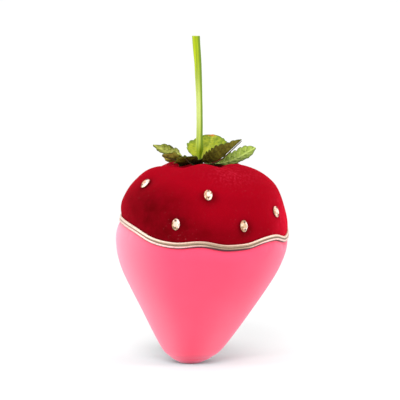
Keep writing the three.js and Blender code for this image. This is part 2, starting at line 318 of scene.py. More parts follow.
def velvet_material():
    """Short-pile velvet: dark where the pile is brushed one way, lighter where it is brushed back, with
    painted light and shade and a painted highlight mixed into that tone.
    """
    n = Nodes("red velvet")
    brushed = n.noise(38, detail=2, roughness=0.55, distortion=0.6)
    streak = n.noise(260, detail=3, roughness=0.6)
    pile = n.noise(5200, detail=2, roughness=0.7)
    lint = n.times(n.map(n.noise(1700, detail=1), 0.71, 0.77), n.map(n.noise(90), 0.45, 0.6))
    upright = n.add("Mapping", {"Vector": n.place(), "Scale": (1.0, 1.0, 0.15)}).outputs["Vector"]
    scuff = n.times(n.attribute("scuffed"), n.map(n.noise(900, detail=3, place=upright), 0.48, 0.66))
    tone = n.layers(
        (0.075, 0.0001, 0.001),
        # pile and painted light: lighter on the right and crown, painted shadow beside each stone
        (n.attribute("pile_and_light"), (0.24, 0.0002, 0.005)),
        # painted highlight on the right side
        (n.attribute("painted_highlight"), (0.52, 0.004, 0.022)),
        (n.map(brushed, 0.35, 0.68, 0.0, 0.35), (0.24, 0.0002, 0.006)),
        (n.map(streak, 0.4, 0.75, 0.0, 0.3), (0.22, 0.0006, 0.008)),
        (n.map(pile, 0.35, 0.7, 0.0, 0.3), (0.05, 0.0, 0.001)),
        (n.times(scuff, 0.42), (0.5, 0.02, 0.05)),
        (n.times(lint, n.attribute("dusty")), (0.7, 0.22, 0.24)),
    )
    n.set(Base_Color=tone, Roughness=n.map(brushed, 0.3, 0.7, 0.98, 0.9), Specular_IOR_Level=0.02)
    n.set(Sheen_Weight=0.37, Sheen_Roughness=0.42, Sheen_Tint=colour(0.9, 0.004, 0.03))
    n.set(Normal=n.bump(pile, 0.8, 0.12, n.bump(brushed, 0.5, 0.5)))
    return n.material


def velour_material():
    """Fine smooth velour with an even pile."""
    n = Nodes("pink velour")
    cloudy = n.noise(42, detail=2, roughness=0.5)
    pile = n.noise(6400, detail=2, roughness=0.65)
    tone = n.layers(
        (0.74, 0.052, 0.107),
        (n.map(cloudy, 0.3, 0.7), (0.8, 0.06, 0.12)),
        # pile and painted light: lighter on the left side
        (n.attribute("pile_and_light"), (0.88, 0.235, 0.3)),
        (n.map(pile, 0.35, 0.7, 0.0, 0.25), (0.68, 0.024, 0.06)),
    )
    n.set(Base_Color=tone, Roughness=n.map(pile, 0.3, 0.7, 0.95, 0.82), Specular_IOR_Level=0.06)
    n.set(Sheen_Weight=0.85, Sheen_Roughness=0.45, Sheen_Tint=colour(1.0, 0.44, 0.56))
    n.set(Normal=n.bump(pile, 0.5, 0.06))
    return n.material


def braid_material():
    """Metallised soutache: dull gold, with cream highlights painted along both edges, a painted pink
    reflection on the lower rib, painted shade in its grooves and a painted shadow along the lower edge where
    it is sewn down.
    """
    n = Nodes("gold braid")
    fibre = n.noise(3600, detail=2, roughness=0.6)
    grain = n.noise(1500, detail=2, roughness=0.7)
    tone = n.layers(
        (0.215, 0.138, 0.085),
        (n.noise(160, detail=1), (0.325, 0.21, 0.135)),
        # painted highlight along both edges, with a painted pink reflection on the lower rib
        (n.attribute("edge"), n.mix(n.attribute("pink_reflection"), (0.76, 0.55, 0.45), (0.7, 0.36, 0.42))),
        (n.map(fibre, 0.4, 0.7, 0.0, 0.3), (0.5, 0.37, 0.28)),
        (n.map(grain, 0.52, 0.64, 0.0, 0.45), (0.12, 0.075, 0.04)),
        # painted shade in the thread grooves and the middle groove
        (n.attribute("valley"), (0.08, 0.055, 0.03)),
        # painted shadow along the lower edge
        (n.attribute("sewn"), (0.05, 0.012, 0.016)),
    )
    n.set(Base_Color=tone, Metallic=0.3, Roughness=n.map(fibre, 0.3, 0.7, 0.5, 0.36))
    n.set(Normal=n.bump(fibre, 0.6, 0.05))
    return n.material


def thread_material(name, base, dark):
    """Waxed thread with its fibres showing."""
    n = Nodes(name)
    fibre = n.noise(5200, detail=2, roughness=0.6)
    n.set(Base_Color=n.mix(n.map(fibre, 0.35, 0.7), dark, base), Roughness=n.map(fibre, 0.3, 0.7, 0.75, 0.5))
    n.set(Normal=n.bump(fibre, 0.7, 0.04))
    return n.material


def stone_material():
    """Cut stone over foil: each facet has a painted reflection of its own tone, from smoky brown over cream
    to white.
    """
    n = Nodes("seed crystal")
    # the painted reflection of each facet
    ramp = n.add("ValToRGB", {"Fac": n.attribute("facet_reflection")})
    stops = ramp.color_ramp.elements
    stops[0].position, stops[0].color = 0.0, colour(0.1, 0.06, 0.03)
    stops[1].position, stops[1].color = 1.0, colour(0.88, 0.6, 0.57)
    for place, tone in ((0.14, (0.26, 0.12, 0.05)), (0.3, (0.44, 0.22, 0.12)), (0.42, (0.58, 0.39, 0.24)),
                        (0.51, (0.2, 0.15, 0.08)), (0.62, (0.55, 0.36, 0.26)), (0.8, (0.71, 0.52, 0.46))):
        stops.new(place).color = colour(*tone)
    speck = n.noise(2600, detail=1)
    tone = n.mix(n.map(speck, 0.6, 0.68, 0.0, 0.4), ramp.outputs["Color"], (0.4, 0.28, 0.16))
    n.set(Base_Color=tone, Roughness=n.map(speck, 0.3, 0.7, 0.08, 0.18), Metallic=0.1)
    n.set(Coat_Weight=0.25, Coat_Roughness=0.04, Specular_IOR_Level=0.3)
    return n.material


def leaf_material(name, blade, light, dark, vein, spot=None, lit="light"):
    """Printed and pressed leaf fabric with veins, blotches and a darker rim; lit names its light places."""
    n = Nodes(name)
    mottle = n.noise(420, detail=4, roughness=0.65)
    weave = n.noise(4200, detail=1)
    blotch = n.map(n.noise(700, detail=3, roughness=0.7), 0.52, 0.62)
    tone = n.layers(
        dark,
        (n.map(mottle, 0.4, 0.6), blade),
        (n.times(n.attribute(lit), 0.9), light),
        (n.times(n.attribute("vein"), 0.75), vein),
        (n.times(blotch, 0.6), dark),
        (n.times(n.attribute("rim"), 0.6), dark),
    )
    if spot:
        tone = n.mix(n.attribute("spot"), tone, spot)
    tone = n.mix(n.map(weave, 0.4, 0.7, 0.0, 0.15), tone, dark)
    n.set(Base_Color=tone, Roughness=n.map(mottle, 0.3, 0.7, 0.7, 0.5), Specular_IOR_Level=0.12)
    n.set(Normal=n.bump(weave, 0.5, 0.05, n.bump(mottle, 0.3, 0.15)))
    return n.material


def stem_material():
    """Soft moulded plastic: yellow-green with darker streaks that run along it, with painted shade on its
    right side, in its grooves and at its foot, and a painted highlight down its left side.
    """
    n = Nodes("stem plastic")
    along = n.add("Mapping", {"Vector": n.place(), "Scale": (1.0, 1.0, 0.05)}).outputs["Vector"]
    streak = n.noise(900, detail=3, roughness=0.6, place=along)
    tone = n.layers(
        (0.19, 0.25, 0.001),
        (n.map(streak, 0.35, 0.65), (0.31, 0.38, 0.002)),
        # painted shade on the right side
        (n.times(n.attribute("side"), 0.85), (0.07, 0.14, 0.002)),
        # painted shade in the grooves between the ridges
        (n.times(n.attribute("valley"), 0.5), (0.1, 0.16, 0.004)),
        # painted highlight down the left side
        (n.attribute("pale"), (0.44, 0.49, 0.2)),
        # painted shade at the foot, under the leaves
        (n.attribute("foot_shade"), (0.1, 0.14, 0.001)),
        (n.attribute("cut"), (0.42, 0.45, 0.12)),
    )
    n.set(Base_Color=tone, Roughness=n.map(streak, 0.3, 0.7, 0.46, 0.36), Specular_IOR_Level=0.14)
    n.set(Normal=n.bump(streak, 0.35, 0.08))
    return n.material


def plain_material(name, base, dark, scale, roughness, metallic=0.0, depth=0.1):
    """A dull surface with one kind of grain."""
    n = Nodes(name)
    grain = n.noise(scale, detail=3, roughness=0.65)
    n.set(Base_Color=n.mix(n.map(grain, 0.3, 0.7), dark, base), Metallic=metallic, Specular_IOR_Level=0.15)
    n.set(Roughness=n.map(grain, 0.3, 0.7, roughness, roughness * 0.8), Normal=n.bump(grain, 0.7, depth))
    return n.material


# ---- The body's surface ----

# The outline by the length of cloth from the foot's edge, in small steps.
_shares = np.linspace(0, 1, 4001)
_line = catmull_rom(OUTLINE, _shares)
_lengths = np.concatenate([[0], np.cumsum(np.linalg.norm(np.diff(_line, axis=0), axis=1))])
OUTLINE_LENGTH = _lengths[-1]
_crest = int(np.argmax(_line[:, 1]))


def outline_at(length):
    """Radius, height and both parts of the outward normal at a length along the outline."""
    place = np.clip(np.asarray(length, float), 0, OUTLINE_LENGTH)
    radius, height = (np.interp(place, _lengths, _line[:, axis]) for axis in (0, 1))
    step = 0.2
    before, after = np.clip(place - step, 0, OUTLINE_LENGTH), np.clip(place + step, 0, OUTLINE_LENGTH)
    along = np.stack([np.interp(after, _lengths, _line[:, a]) - np.interp(before, _lengths, _line[:, a])
                      for a in (0, 1)], -1)
    along = unit(along)
    return radius, height, along[..., 1], -along[..., 0]


def length_at(height):
    """The length along the outline at which the side reaches a height."""
    return np.interp(height, _line[: _crest + 1, 1], _lengths[: _crest + 1])


def lean_at(height):
    return LEAN * np.sin(math.pi / 2 * np.clip(np.asarray(height, float) / LEAN_HEIGHT, 0, 1))


def gather_lift(radius, height, azimuth):
    weight = smoothstep(radius, HOLE_RADIUS, CREST_RADIUS) * smoothstep(height, SHOULDER_HEIGHT, CREST_HEIGHT)
    return GATHER_DEPTH * weight * np.cos(GATHERS * azimuth)


def body_point(azimuth, length, offset=0.0):
    """Points of the body's surface, moved out by offset along the surface's normal."""
    radius, height, out, rise = outline_at(length)
    offset = np.asarray(offset, float)
    lift = height + gather_lift(radius, height, azimuth) + offset * rise
    points = outward(azimuth) * (radius + offset * out)[..., None] + lift[..., None] * UP
    points[..., 0] += lean_at(height)
    return points


def body_normal(azimuth, length):
    _, _, out, rise = outline_at(length)
    return unit(outward(azimuth) * np.asarray(out)[..., None] + np.asarray(rise)[..., None] * UP)


def seam_height(azimuth):
    """The seam's height at an azimuth in radians, on a smooth closed curve."""
    degrees = np.degrees(np.asarray(azimuth, float))
    places = np.array([p for p, _ in SEAM], float)
    heights = np.array([h for _, h in SEAM], float)
    places = np.concatenate([places - 360, places, places + 360])
    heights = np.tile(heights, 3)
    slopes = np.gradient(heights, places)
    degrees = (degrees + 180) % 360 - 180
    index = np.clip(np.searchsorted(places, degrees, "right") - 1, 0, len(places) - 2)
    span = places[index + 1] - places[index]
    t = (degrees - places[index]) / span
    return (
        (2 * t**3 - 3 * t**2 + 1) * heights[index]
        + (t**3 - 2 * t**2 + t) * span * slopes[index]
        + (-2 * t**3 + 3 * t**2) * heights[index + 1]
        + (t**3 - t**2) * span * slopes[index + 1]
    )


def stone_places():
    """Centre, outward, lengthwise and sideways directions of every stone, from its CAD node."""
    places = []
    for number in range(1, STONES + 1):
        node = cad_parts[f"seed_stone_{number:02d}"]
        points = read_points(node)
        centre = points.mean(0)
        _, _, axes = np.linalg.svd(points - centre, full_matrices=False)
        out = axes[2] * np.sign(axes[2] @ (centre - np.array([LEAN, 0, centre[2] - 4])))
        long = axes[0] * np.sign(axes[0][2] or 1)
        base = centre + out * ((points - centre) @ out).min()
        places.append((base, out, long, np.cross(long, out)))
    return places


STONE_PLACES = stone_places()


# ---- The stuffed body ----

COVER_COLUMNS = 180
VELVET_ROWS = 50
VELOUR_ROWS = 56
SEAM_GAP = 0.15
SEAM_GROOVE = 1.0
SEAM_TUCK = 1.3
STONE_DENT = 0.8
# where the painted shadow beside each stone sits: to the right and below, in mm
STONE_SHADE = np.array([0.9, 0, -0.9])
STONE_PIN_RADIUS = 2.6
FOOT_ROUNDING = 0.6
CORNER_ROUNDING = 0.85
FOOT_ROWS = 3
FOOT_RINGS = (0.2, 0.4, 0.6, 0.8)
FAR = 90.0
PRESSURE = 3.0
SIMULATION_SCALE = 20.0
SIMULATION_FRAMES = 18


def seam_tuck(azimuth):
    """How much deeper the seam is pulled in on the left, where the stuffing swells most beside it."""
    return SEAM_TUCK * bell(np.degrees(azimuth) + 92, 34)


def seam_roll(distance, azimuth):
    """How far a cover turns in towards the seam, and how it swells next to it."""
    return (-SEAM_GROOVE * bell(distance, 1.3) + 0.35 * bell(distance - 6, 4.5)
            - seam_tuck(azimuth) * bell(distance, 4.5))


def stone_dents(points):
    depth = np.zeros(points.shape[:-1])
    for base, _, long, _ in STONE_PLACES:
        away = points - base
        along = away @ long
        distance = np.sqrt(np.maximum((away**2).sum(-1) - 0.35 * along**2, 0))
        depth -= STONE_DENT * bell(distance, 3.4) + 0.25 * bell(distance, 6.5)
    return depth


def gather_pleats(azimuth, radius, height):
    """Fine folds round the hole, fuller valleys between the gathers, and how each shoulder sits or sags."""
    sway = azimuth + 0.05 * np.sin(3 * azimuth + 1) + 0.03 * np.sin(7 * azimuth)
    uneven = 0.75 + 0.25 * np.sin(5 * azimuth + 2)
    fold = np.abs(np.sin(13 * sway)) - 0.62
    near = smoothstep(16 - radius, 0, 11) * smoothstep(height, 84, 90)
    crest = smoothstep(radius, 6, 14) * smoothstep(height, 86, 93)
    degrees = np.degrees(azimuth)
    valley = (1 - np.cos(GATHERS * azimuth)) / 2 * crest * (0.7 + 0.8 * bell(degrees, 52))
    settled = bell(np.abs(degrees) - 76, 30) * bell(radius - 16, 6.5) * smoothstep(height, 86, 91)
    right = 0.9 * bell(degrees - 76, 36) * bell(radius - 32, 6)
    left = 0.7 * bell(degrees + 80, 34) * bell(radius - 25, 6) * smoothstep(height, 80, 88)
    return 0.8 * fold * near * uneven + valley - (1.4 - 0.4 * np.sin(azimuth)) * settled + right + left


def stuff(piece, points, held, most):
    """Blows the cover up from inside as cloth, sewn down where held is 1, by at most the given distance."""
    write_points(piece, points * SIMULATION_SCALE)
    group = piece.vertex_groups.new(name="sewn")
    group.add(np.flatnonzero(held).tolist(), 1.0, "REPLACE")
    cloth = piece.modifiers.new("cloth", "CLOTH")
    settings = cloth.settings
    settings.quality = 5
    settings.mass = 0.25
    settings.vertex_group_mass = "sewn"
    settings.use_pressure = True
    settings.uniform_pressure_force = PRESSURE
    settings.tension_stiffness = settings.compression_stiffness = 25
    settings.shear_stiffness = 12
    settings.bending_stiffness = 0.6
    settings.effector_weights.gravity = 0
    cloth.collision_settings.use_collision = False
    cloth.point_cache.frame_start, cloth.point_cache.frame_end = 1, SIMULATION_FRAMES
    scene = bpy.context.scene
    for step in range(1, SIMULATION_FRAMES + 1):
        scene.frame_set(step)
    graph = bpy.context.evaluated_depsgraph_get()
    moved = read_vectors(piece.evaluated_get(graph).data, "co") / MM / SIMULATION_SCALE
    piece.modifiers.remove(cloth)
    piece.vertex_groups.remove(group)
    scene.frame_set(1)
    shift = moved - points
    size = np.linalg.norm(shift, axis=1, keepdims=True)
    return points + shift * np.minimum(1, most * np.tanh(size / most) / np.maximum(size, 1e-9))


def back_seam(points, distance_from_edge, reach):
    """A sewn seam up the back: a narrow groove with the pull of its stitches."""
    axis = lean_at(points[..., 2])
    azimuth = np.arctan2(points[..., 0] - axis, -points[..., 1])
    aside = (math.pi - np.abs(azimuth)) * np.hypot(points[..., 0] - axis, points[..., 1])
    stitches = 0.8 + 0.2 * np.cos(2 * math.pi * points[..., 2] / 2.6)
    fade = smoothstep(distance_from_edge, 0, reach)
    return -(0.55 * bell(aside, 0.9) * stitches - 0.12 * bell(aside - 2.4, 1.6)) * fade


def velvet_pile_and_light(azimuth, points):
    """How far the pile is brushed back, together with painted light, 0 to 1: lighter on the right and on the
    crown, with painted shadow beside each stone.
    """
    height = points[:, 2]
    behind = 0.4 * smoothstep(-azimuth, 115, 180) - 0.5 * smoothstep(azimuth, 105, 180)
    pile_and_light = smoothstep(azimuth, -50, 75) + behind + smoothstep(height, 78, 92)
    pile_and_light = pile_and_light + 0.2 * wave_noise(points / 16, 8)
    for base, _, _, _ in STONE_PLACES:
        # painted shadow to the right of and below each stone
        pile_and_light = pile_and_light - 1.2 * bell(np.linalg.norm(points - base - STONE_SHADE, axis=1), 3.4)
    # painted light at the middle of the front, painted shade in a band above the front seam
    pile_and_light = pile_and_light + 0.35 * bell(azimuth - 5, 22) * bell(height - 78, 9)
    return np.clip(pile_and_light - 0.35 * bell(azimuth - 15, 45) * bell(height - 64, 6), 0, 1)


def velvet_cover():
    """The gathered cap, from the wavy seam up to the hole under the calyx."""
    azimuth = around(COVER_COLUMNS)
    edge = length_at(seam_height(azimuth)) + SEAM_GAP
    share = np.linspace(0, 1, VELVET_ROWS)[:, None]
    lengths = edge + (OUTLINE_LENGTH - edge) * share
    distance = lengths - edge
    radius, height, _, _ = outline_at(lengths)
    flat = body_point(azimuth, lengths)
    offset = seam_roll(distance, azimuth) + stone_dents(flat) + gather_pleats(azimuth, radius, height)
    points = body_point(azimuth, lengths, offset)
    piece = add_mesh("red_velvet_cap", points, grid_faces(VELVET_ROWS, COVER_COLUMNS), velvet_material())
    held = np.zeros(lengths.shape)
    held[0], held[-1] = 1, 1
    for base, _, _, _ in STONE_PLACES:
        held = np.maximum(held, (np.linalg.norm(points - base, axis=-1) < STONE_PIN_RADIUS).astype(float))
    paint(piece, "from_edge", distance)
    write_points(piece, stuff(piece, points.reshape(-1, 3), held.ravel(), most=1.3))
    subdivide(piece)
    apply_modifiers(piece)
    azimuth, points = finish_cover(piece)
    # pile with painted light and shade: lighter right side and crown, painted shadow beside the stones
    paint(piece, "pile_and_light", velvet_pile_and_light(azimuth, points))
    # painted highlight on the right side, below the shoulder
    painted_highlight = smoothstep(azimuth, 48, 84) * smoothstep(-azimuth, -150, -110)
    paint(piece, "painted_highlight", painted_highlight * smoothstep(-points[:, 2], -84, -66))
    scuffed = bell(azimuth - 34, 24) * bell(points[:, 2] - 91, 4)
    paint(piece, "scuffed", scuffed + bell(azimuth - 76, 14) * bell(points[:, 2] - 70, 12))
    paint(piece, "dusty", 0.12 + 0.4 * bell(points[:, 2] - seam_height(np.radians(azimuth)), 5))
    thicken(piece, COVER_THICKNESS)
    return hand_in(piece, "red_velvet", "red_velvet_cover")


def finish_cover(piece):
    """The details finer than the cloth's grid: the back seam and the pull of the stitches under the braid."""
    points = read_points(piece)
    distance = np.zeros(len(points), np.float32)
    piece.data.attributes["from_edge"].data.foreach_get("value", distance)
    azimuth = np.arctan2(points[:, 0] - lean_at(points[:, 2]), -points[:, 1])
    normals = read_vectors(piece.data, "normal")
    near = bell(distance, 4)
    patchy = np.clip(0.5 + wave_noise(points / 9, 12), 0, 1)
    pucker = 0.07 * np.sin(44 * azimuth + 3 * np.sin(3 * azimuth) + 2 * np.sin(7 * azimuth)) * near * patchy
    lumps = 0.16 * wave_noise(points / 11, 4) * smoothstep(distance, 1, 8)
    offset = back_seam(points, distance, 3) + pucker + lumps
    write_points(piece, points + normals * offset[:, None])
    return np.degrees(azimuth), points


def velour_pile_and_light(azimuth, height):
    """How far the pile is brushed up, together with painted light, 0 to 1: most on the left, little near the
    foot.
    """
    behind = 0.3 * smoothstep(azimuth, 110, 180) - 0.3 * smoothstep(-azimuth, 110, 180)
    pile_and_light = 0.9 * smoothstep(-azimuth, 15, 90) + 0.27 * smoothstep(azimuth, 35, 95) + behind
    low = smoothstep(46 - height, 0, 36)
    pile_and_light = pile_and_light * (1 - 0.35 * low) + low * (0.06 + 0.2 * bell(np.abs(azimuth) - 38, 24))
    return np.clip(pile_and_light, 0, 1)


def velour_cover():
    """The lower cover, from the flat foot up to the wavy seam."""
    azimuth = around(COVER_COLUMNS)
    edge = length_at(seam_height(azimuth)) - SEAM_GAP
    share = np.linspace(0, 1, VELOUR_ROWS)[:, None]
    lengths = edge * share
    distance = edge - lengths
    rounding = FOOT_ROUNDING * bell(lengths, 2.4) + CORNER_ROUNDING * bell(lengths - 4.8, 3.2)
    points = body_point(azimuth, lengths, seam_roll(distance, azimuth) - rounding)
    foot = np.array([outward(azimuth) * OUTLINE[0][0] * ring for ring in FOOT_RINGS])
    grid = np.concatenate([foot, points])
    rows = len(grid)
    all_points = np.concatenate([grid.reshape(-1, 3), np.zeros((1, 3))])
    faces = grid_faces(rows, COVER_COLUMNS) + fan(rows * COVER_COLUMNS, COVER_COLUMNS, flip=True)
    piece = add_mesh("pink_velour_dip", all_points, faces, velour_material())
    held = np.zeros((rows, COVER_COLUMNS))
    held[: len(foot) + FOOT_ROWS], held[-1] = 1, 1
    from_edge = np.concatenate([np.full((len(foot), COVER_COLUMNS), FAR), distance]).ravel()
    paint(piece, "from_edge", np.append(from_edge, FAR))
    pinned = np.append(held.ravel(), 1.0)
    write_points(piece, stuff(piece, all_points, pinned, most=1.2))
    subdivide(piece)
    apply_modifiers(piece)
    azimuth, points = finish_cover(piece)
    # pile with painted light, lightest on the left
    paint(piece, "pile_and_light", velour_pile_and_light(azimuth, points[:, 2]))
    points = read_points(piece)
    points[:, 2] = np.maximum(points[:, 2], 0)
    write_points(piece, points)
    thicken(piece, COVER_THICKNESS)
    return hand_in(piece, "pink_velour", "pink_dip_cover")


# ---- Braid, join and threads ----

BRAID_STEPS = 1700
BRAID_LIFT = 0.22
BRAID_HALF_DEPTH = 0.5
BRAID_FINE_STEPS = 8001
BRAID_END_GAP = 1.2
THREAD_PITCH = 0.72
JOIN_HEIGHT = 3.9
JOIN_HALF_WIDTH = 2.5
JOIN_HALF_DEPTH = 0.42
JOIN_LIFT = 1.05
PLY_TURNS = 26


def rib_section(half_width, half_depth, count):
    """The closed outline of two ribs side by side: across and out."""
    centre = half_width * 0.48
    radius = half_width - centre
    open_angle = math.pi - math.acos(min(1, centre / radius))
    angles = np.linspace(-open_angle, open_angle, count)
    right = np.stack([centre + radius * np.cos(angles), half_depth * np.sin(angles)], -1)
    return np.concatenate([right, -right])


def sweep(centres, across, out, section, swell):
    """Points of a section carried along a line; swell scales each ring's points one by one."""
    local = section * swell[..., None]
    return centres[:, None] + across[:, None] * local[..., :1] + out[:, None] * local[..., 1:]


def gold_braid(material):
    """Two ribs of twisted thread laid over the seam, with cream highlights painted along their edges and a
    painted pink reflection below on the front.
    """
    azimuth = np.linspace(-math.pi, math.pi, BRAID_FINE_STEPS)
    line = body_point(azimuth, length_at(seam_height(azimuth)), 0.25)
    run = np.concatenate([[0], np.cumsum(np.linalg.norm(np.diff(line, axis=0), axis=1))])
    places = np.linspace(BRAID_END_GAP, run[-1] - BRAID_END_GAP, BRAID_STEPS)
    azimuth = np.interp(places, run, azimuth)
    wander = 0.12 * np.sin(places / 9) + 0.08 * np.sin(places / 3.7 + 1)
    length = length_at(seam_height(azimuth)) + wander
    lift = BRAID_LIFT - seam_tuck(azimuth) + 0.06 * np.sin(places / 6 + 2)
    centres = body_point(azimuth, length, lift)
    out = body_normal(azimuth, length)
    along = unit(np.gradient(centres, axis=0))
    across = unit(np.cross(out, along))
    section = rib_section(BRAID_WIDTH / 2 - 0.1, BRAID_HALF_DEPTH, 19)
    turn = np.arctan2(section[:, 1], np.abs(section[:, 0]) - BRAID_WIDTH * 0.24)
    phase = places[:, None] / THREAD_PITCH + turn / 2.2 * np.sign(section[:, 0])
    thread = np.abs(np.sin(math.pi * phase))
    rings = sweep(centres, across, out, section, 1 + 0.11 * (thread - 0.6))
    piece = add_mesh("gold_soutache", rings, tube_faces(len(rings), len(section)), material)
    rise = section[:, 0] / section[:, 0].max()
    degrees = np.degrees(azimuth)[:, None]
    front = bell(degrees - 8, 42)
    low = 0.04 + 0.3 * front + 0.2 * bell(degrees - 22, 24)
    # painted highlights along the upper and lower edges, and on the left part of the braid
    upper_edge_highlight = smoothstep(rise, 0.25 + 0.52 * front, 0.45 + 0.5 * front)
    edge = np.maximum(upper_edge_highlight, smoothstep(-rise, low, low + 0.15))
    edge = np.maximum(edge, 0.5 * smoothstep(-degrees, 20, 60))
    paint(piece, "edge", edge)
    # painted reflection of the pink velour on the lower rib
    paint(piece, "pink_reflection", smoothstep(-rise, 0, 0.2) * (0.2 + 0.8 * front))
    # painted shade in the thread grooves and the middle groove
    paint(piece, "valley", np.clip(0.6 * bell(thread, 0.3) * (1 - 0.6 * edge) + 0.8 * bell(rise, 0.12), 0, 1))
    # painted shadow along the lower edge, wider at the front
    wider_shadow = 0.4 * bell(degrees - 18, 26)
    paint(piece, "sewn", smoothstep(-rise, 0.76 - wider_shadow, 0.86 - wider_shadow))
    return hand_in(piece, "gold_braid", "gold_braid")


def braid_join(material):
    """The braid's end, folded over and stitched down across the join."""
    centre = read_points(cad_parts["braid_join_tab"]).mean(0)
    azimuth = np.array(math.atan2(centre[0] - lean_at(centre[2]), -centre[1]))
    out = body_normal(azimuth, length_at(centre[2]))
    centre = body_point(azimuth, length_at(centre[2]), JOIN_LIFT)
    side = outward(azimuth + math.pi / 2)
    upright = np.cross(out, side)
    steps = np.linspace(-1, 1, 91)
    end = np.sqrt(np.clip(1 - np.abs(steps) ** 6, 0, 1))
    centres = centre + np.outer(steps * JOIN_HEIGHT / 2, upright) + np.outer(0.15 * (end - 1), out)
    section = rib_section(JOIN_HALF_WIDTH, JOIN_HALF_DEPTH, 13)
    rings = []
    for place, close in zip(centres, end):
        phase = (place - centre) @ upright / THREAD_PITCH + np.abs(section[:, 0])
        thread = np.abs(np.sin(math.pi * phase))
        aside = section[:, 0] * (0.9 + 0.1 * close)
        away = section[:, 1] * max(close, 0.02) * (1 + 0.1 * thread)
        rings.append(place + np.outer(aside, side) + np.outer(away, out))
    faces = tube_faces(len(rings), len(section), flip=True)
    piece = add_mesh("soutache_join", np.array(rings), faces, material)
    # painted shade in the middle groove
    paint(piece, "valley", np.tile(bell(section[:, 0], 0.4), len(rings)))
    # painted highlight along both edges
    paint(piece, "edge", np.tile(smoothstep(np.abs(section[:, 0]), 0.9, 1.6), len(rings)))
    return hand_in(piece, "gold_braid", "braid_join_tab")


def gather_thread():
    """Two-ply waxed thread round the gathered hole."""
    low, high = (np.array(corner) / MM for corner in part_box("gather_thread"))
    centre, ring = (low + high) / 2, (high[0] - low[0]) / 2
    radius = (high[2] - low[2]) / 2
    steps, sides = 360, 12
    angle, around_ply = turns(steps), turns(sides)
    out = outward(angle)
    line = centre + out * (ring - radius)
    size = radius * (0.72 + 0.28 * np.abs(np.cos(around_ply - PLY_TURNS * angle[:, None])))
    rings = line[:, None] + out[:, None] * (size * np.cos(around_ply))[..., None]
    rings = rings + UP * (size * np.sin(around_ply))[..., None]
    faces = [tuple(corner % (steps * sides) for corner in face) for face in grid_faces(steps + 1, sides)]
    material = thread_material("red thread", (0.34, 0.004, 0.014), (0.12, 0.001, 0.006))
    piece = add_mesh("gathering_thread", rings, faces, material)
    return hand_in(piece, "thread", "gather_thread")


# ---- Stones ----

STONE_RINGS = [(0.0, 0.8, 0), (0.28, 1.0, 0), (0.42, 1.0, 1), (0.78, 0.74, 0), (1.0, 0.46, 1)]
STONE_SIDES = 12
SUNK = 0.5
STITCH_RINGS = [(-0.25, 0.4), (0.12, 0.46), (0.24, 0.36), (0.28, 0.1)]
STITCH_SIDES = 10
STITCH_MATERIAL = thread_material("stitch thread", (0.12, 0.07, 0.04), (0.04, 0.02, 0.012))


def seed_stone(number, place, material, draw):
    """A cut two-hole stone: back, girdle, crown facets and a table, sunk a little into the pile."""
    base, out, long, side = place
    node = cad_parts[f"seed_stone_{number:02d}"]
    local = read_points(node) - base
    half_long, half_side, depth = (0.95 * np.abs(local @ axis).max() for axis in (long, side, out))
    rings = []
    for height, scale, turned in STONE_RINGS:
        angle = 2 * math.pi * (np.arange(STONE_SIDES) + turned / 2) / STONE_SIDES
        rings.append(base + out * (0.85 * height * depth - SUNK)
                     + np.outer(half_side * scale * np.cos(angle), side)
                     + np.outer(half_long * scale * np.sin(angle), long))
    faces = []
    for row in range(len(rings) - 1):
        turned, next_turned = STONE_RINGS[row][2], STONE_RINGS[row + 1][2]
        for s in range(STONE_SIDES):
            a, b = row * STONE_SIDES + s, row * STONE_SIDES + (s + 1) % STONE_SIDES
            c, d = a + STONE_SIDES, b + STONE_SIDES
            if turned == next_turned:
                faces.append((a, b, d, c))
            elif next_turned:
                faces += [(a, b, c), (b, d, c)]
            else:
                faces += [(a, b, d), (a, d, c)]
    top = (len(rings) - 1) * STONE_SIDES
    faces += [tuple(range(STONE_SIDES))[::-1], tuple(top + s for s in range(STONE_SIDES))]
    piece = add_mesh(f"seed_crystal_{number:02d}", np.array(rings), faces, material, smooth=False)
    # painted reflections: lighter on stones turned sideways and on one side of each stone, with a random tone
    # per facet
    lie = draw.uniform(-0.5, 0.5)
    lit_side = (side * math.cos(lie) + long * math.sin(lie)) / half_side
    corners = np.concatenate(rings)
    centres = np.array([corners[list(face)].mean(0) for face in faces])
    facet_reflections = 0.48 + 0.34 * out[0] ** 2 + 0.36 * (centres - base) @ lit_side + draw.normal(0, 0.21, len(faces))
    attribute = piece.data.attributes.new("facet_reflection", "FLOAT", "FACE")
    attribute.data.foreach_set("value", np.clip(facet_reflections, 0, 1).astype(np.float32))
    stitches = stone_stitches(number, place, half_long, depth)
    stitches.parent = piece
    return hand_in(piece, "seed_crystal", f"seed_stone_{number:02d}")


def stone_stitches(number, place, half_long, depth):
    """The dark hole near each end of the stone, filled by the thread that sews it on."""
    base, out, long, side = place
    points, faces = [], []
    for end in (-1, 1):
        first = len(points)
        centre = base + long * (end * half_long * 0.6) + out * (depth * 0.7 - SUNK)
        for height, size in STITCH_RINGS:
            for angle in turns(STITCH_SIDES):
                points.append(centre + out * height + side * (size * math.cos(angle))
                              + long * (size * 1.25 * math.sin(angle)))
        faces += tube_faces(len(STITCH_RINGS), STITCH_SIDES, first=first)
    piece = add_mesh(f"stone_stitch_{number:02d}", points, faces, STITCH_MATERIAL)
    return piece


# ---- Calyx leaves, their ribs, the felt pad and the stem ----

LEAF_START = 3.2
LEAF_BOTTOM = 93.4
LEAF_THICKNESS = 0.35
LEAF_TWIST_END = 0.4
LEAF_COLUMNS = 25
TOOTH_ROWS = 8
CURL_STEPS = 400
RIB_GAP = 0.2
RIB_RADIUS = 0.42
RIB_TIP_RADIUS = 0.2
RIB_START = 0.04
# The rings of the stem's cut top: (share of its radius, height above the end in mm).
STEM_CUT = [(0.93, 0.03), (0.8, 0.02), (0.45, -0.12), (0.2, -0.2)]

